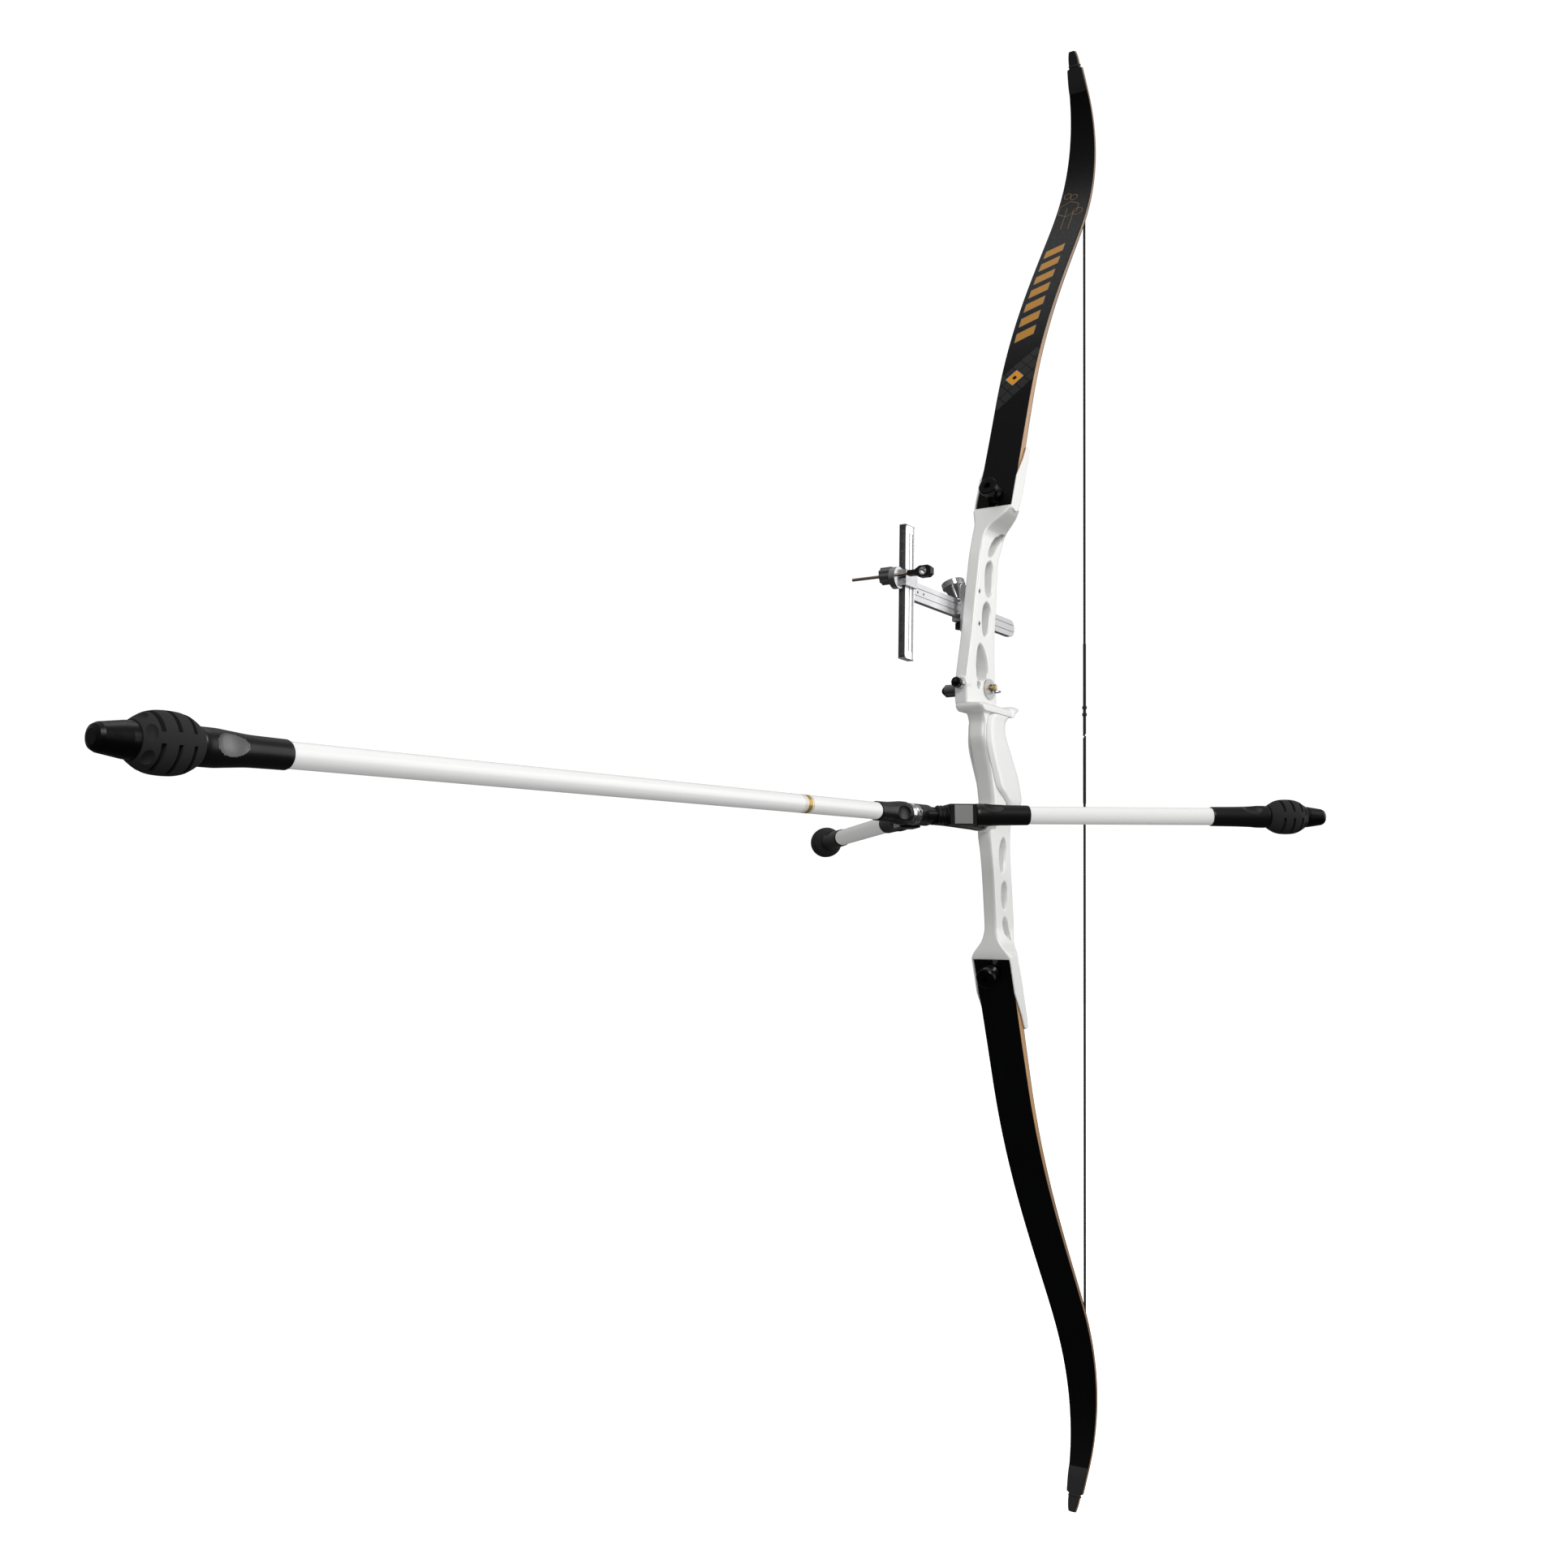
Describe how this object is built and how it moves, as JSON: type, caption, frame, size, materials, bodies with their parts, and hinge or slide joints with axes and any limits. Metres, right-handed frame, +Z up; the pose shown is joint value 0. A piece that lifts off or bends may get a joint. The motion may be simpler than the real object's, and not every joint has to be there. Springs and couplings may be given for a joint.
{
  "type": "take-down recurve bow",
  "caption": "Take-down recurve bow with white riser, black limbs, string, adjustable sight, arrow rest and plunger, long front stabiliser and a pair of side stabilisers on an angled bar.",
  "frame": {"origin": "throat of the grip, in the plane of the string", "axes": "+X from the grip towards the string and the archer, +Z up along the bow, +Y to the far side, where the sight is fixed"},
  "size_m": [1.2513, 0.5928, 1.6434],
  "materials": {
    "white_paint": "satin white coating",
    "white_grip": "smooth white",
    "white_tube": "glossy white carbon tube",
    "black_anodised": "black anodised",
    "grey_alloy": "dark grey anodised",
    "light_alloy": "satin clear anodised",
    "steel": "turned stainless steel",
    "chrome": "polished",
    "limb_skin": "black laminate with a low sheen",
    "limb_wood": "clear-coated laminated core",
    "tip_black": "black tip overlay",
    "string_black": "waxed string",
    "serving_black": "tight serving thread",
    "nock_brass": "dull brass",
    "rubber": "matte black rubber",
    "plate_grey": "satin grey",
    "screw_bronze": "dull"
  },
  "bodies": {
    "riser": {"riser": "white_paint", "grip": "white_grip", "stabiliser_bushing": "steel", "front_sleeve": "steel", "bolt_locks": "grey_alloy", "pocket_bushings": "steel", "limb_dovetails": "steel", "upper_limb_butt": "limb_wood", "lower_limb_butt": "limb_wood", "rest_plate": "plate_grey", "plunger_barrel": "grey_alloy", "plunger_spring": "steel", "plunger_cap": "black_anodised", "sight_base": "light_alloy", "sight_screws": "grey_alloy", "extender": "black_anodised"},
    "upper_limb": {"upper_limb_core": "limb_wood", "upper_limb_back": "limb_skin", "upper_limb_belly": "limb_skin", "upper_tip_overlay": "tip_black", "upper_string_loop": "serving_black"},
    "lower_limb": {"lower_limb_core": "limb_wood", "lower_limb_back": "limb_skin", "lower_limb_belly": "limb_skin", "lower_tip_overlay": "tip_black", "lower_string_loop": "serving_black"},
    "upper_string": {"upper_string": "string_black", "upper_serving": "serving_black", "nocking_point": "nock_brass"},
    "lower_string": {"lower_string": "string_black", "lower_serving": "serving_black"},
    "upper_bolt": {"upper_limb_bolt": "black_anodised"},
    "lower_bolt": {"lower_limb_bolt": "black_anodised"},
    "front_plug": {"front_plug": "steel"},
    "rest_wire": {"rest_wire": "chrome"},
    "plunger_tip": {"plunger_tip": "nock_brass"},
    "sight_bar": {"sight_bar": "light_alloy", "sight_post": "grey_alloy"},
    "clamp_knob": {"sight_clamp_knob": "chrome"},
    "stop_knob": {"sight_stop_knob": "black_anodised"},
    "carriage": {"sight_carriage": "light_alloy"},
    "windage_slide": {"windage_screw": "screw_bronze", "aperture_body": "black_anodised", "aperture_ring": "chrome"},
    "windage_nut": {"windage_nut": "grey_alloy"},
    "v_bar": {"v_bar": "black_anodised", "arm_plates": "plate_grey", "quick_disconnect": "steel", "side_ferrules": "black_anodised", "side_tubes": "white_tube", "side_dampers": "rubber"},
    "near_lock_ring": {"near_lock_ring": "black_anodised"},
    "far_lock_ring": {"far_lock_ring": "black_anodised"},
    "long_rod": {"long_front_ferrule": "black_anodised", "long_tube": "white_tube", "long_rear_ferrule": "black_anodised", "long_damper": "rubber"},
    "long_weight": {"long_weight": "black_anodised"},
    "near_side_weight": {"near_side_weight": "black_anodised"},
    "far_side_weight": {"far_side_weight": "black_anodised"}
  },
  "joints": [
    {"name": "upper_limb_flex", "type": "hinge", "parent": "riser", "child": "upper_limb", "pos_m": [0.03469, 0, 0.3237], "axis": [0, 1, 0], "range_deg": [0, 17], "stiffness_Nm_per_rad": 180},
    {"name": "lower_limb_flex", "type": "hinge", "parent": "riser", "child": "lower_limb", "pos_m": [0.03469, 0, -0.3457], "axis": [0, -1, 0], "range_deg": [0, 17], "stiffness_Nm_per_rad": 180},
    {"name": "upper_string_swing", "type": "hinge", "parent": "upper_limb", "child": "upper_string", "pos_m": [0.20164, 0, 0.79669], "axis": [0, -1, 0], "range_deg": [0, 39.94]},
    {"name": "lower_string_swing", "type": "hinge", "parent": "lower_limb", "child": "lower_string", "pos_m": [0.20164, 0, -0.81869], "axis": [0, 1, 0], "range_deg": [0, 38.7]},
    {"name": "upper_bolt_turn", "type": "hinge", "parent": "riser", "child": "upper_bolt", "pos_m": [-0.00801, 0, 0.23272], "axis": [-0.9432, 0, 0.3322], "continuous": true},
    {"name": "lower_bolt_turn", "type": "hinge", "parent": "riser", "child": "lower_bolt", "pos_m": [-0.00801, 0, -0.25472], "axis": [-0.9432, 0, -0.3322], "continuous": true},
    {"name": "front_plug_turn", "type": "hinge", "parent": "riser", "child": "front_plug", "pos_m": [-0.0647, 0.0105, 0.031], "axis": [-1, 0, 0], "continuous": true},
    {"name": "rest_wire_fold", "type": "hinge", "parent": "riser", "child": "rest_wire", "pos_m": [-0.0067, 0.0001, 0.0327], "axis": [0, 0, -1], "range_deg": [0, 40], "stiffness_Nm_per_rad": 0.02},
    {"name": "plunger_push", "type": "slide", "parent": "riser", "child": "plunger_tip", "axis": [0, 1, 0], "range_m": [0, 0.004], "stiffness_N_per_m": 500, "deforming": ["plunger_spring"]},
    {"name": "sight_bar_slide", "type": "slide", "parent": "riser", "child": "sight_bar", "axis": [1, 0, 0], "range_m": [-0.09, 0.06]},
    {"name": "clamp_knob_turn", "type": "hinge", "parent": "riser", "child": "clamp_knob", "pos_m": [-0.02, 0.0357, 0.1234], "axis": [0, 0.309, 0.9511], "continuous": true},
    {"name": "stop_knob_turn", "type": "hinge", "parent": "riser", "child": "stop_knob", "pos_m": [-0.014, 0.0357, 0.1024], "axis": [0, 0, -1], "continuous": true},
    {"name": "carriage_slide", "type": "slide", "parent": "sight_bar", "child": "carriage", "axis": [0, 0, 1], "range_m": [-0.06, 0.035]},
    {"name": "windage_slide", "type": "slide", "parent": "carriage", "child": "windage_slide", "axis": [0, 1, 0], "range_m": [-0.008, 0.004]},
    {"name": "windage_nut_turn", "type": "hinge", "parent": "carriage", "child": "windage_nut", "pos_m": [-0.1605, 0.03775, 0.1237], "axis": [0, 1, 0], "continuous": true},
    {"name": "v_bar_roll", "type": "hinge", "parent": "riser", "child": "v_bar", "pos_m": [-0.16795, 0, -0.1079], "axis": [-0.9997, 0, -0.0262], "range_deg": [-20, 20]},
    {"name": "near_lock_ring_turn", "type": "hinge", "parent": "v_bar", "child": "near_lock_ring", "pos_m": [-0.16795, 0, -0.1079], "axis": [0.7066, -0.7071, 0.0255], "continuous": true},
    {"name": "far_lock_ring_turn", "type": "hinge", "parent": "v_bar", "child": "far_lock_ring", "pos_m": [-0.16795, 0, -0.1079], "axis": [0.7077, 0.7063, -0.0164], "continuous": true},
    {"name": "long_rod_release", "type": "hinge", "parent": "v_bar", "child": "long_rod", "pos_m": [-0.16795, 0, -0.1079], "axis": [-0.9997, 0, -0.0262], "range_deg": [0, 60]},
    {"name": "long_weight_turn", "type": "hinge", "parent": "long_rod", "child": "long_weight", "pos_m": [-0.16795, 0, -0.1079], "axis": [-0.9997, 0, -0.0262], "continuous": true},
    {"name": "near_side_weight_turn", "type": "hinge", "parent": "v_bar", "child": "near_side_weight", "pos_m": [-0.16795, 0, -0.1079], "axis": [0.7066, -0.7071, 0.0255], "continuous": true},
    {"name": "far_side_weight_turn", "type": "hinge", "parent": "v_bar", "child": "far_side_weight", "pos_m": [-0.16795, 0, -0.1079], "axis": [0.7077, 0.7063, -0.0164], "continuous": true}
  ],
  "couplings": [
    {"joint": "lower_limb_flex", "follows": "upper_limb_flex", "ratio": 1},
    {"joint": "upper_string_swing", "follows": "upper_limb_flex", "ratio": 2.3492},
    {"joint": "lower_string_swing", "follows": "upper_limb_flex", "ratio": 2.2763}
  ]
}
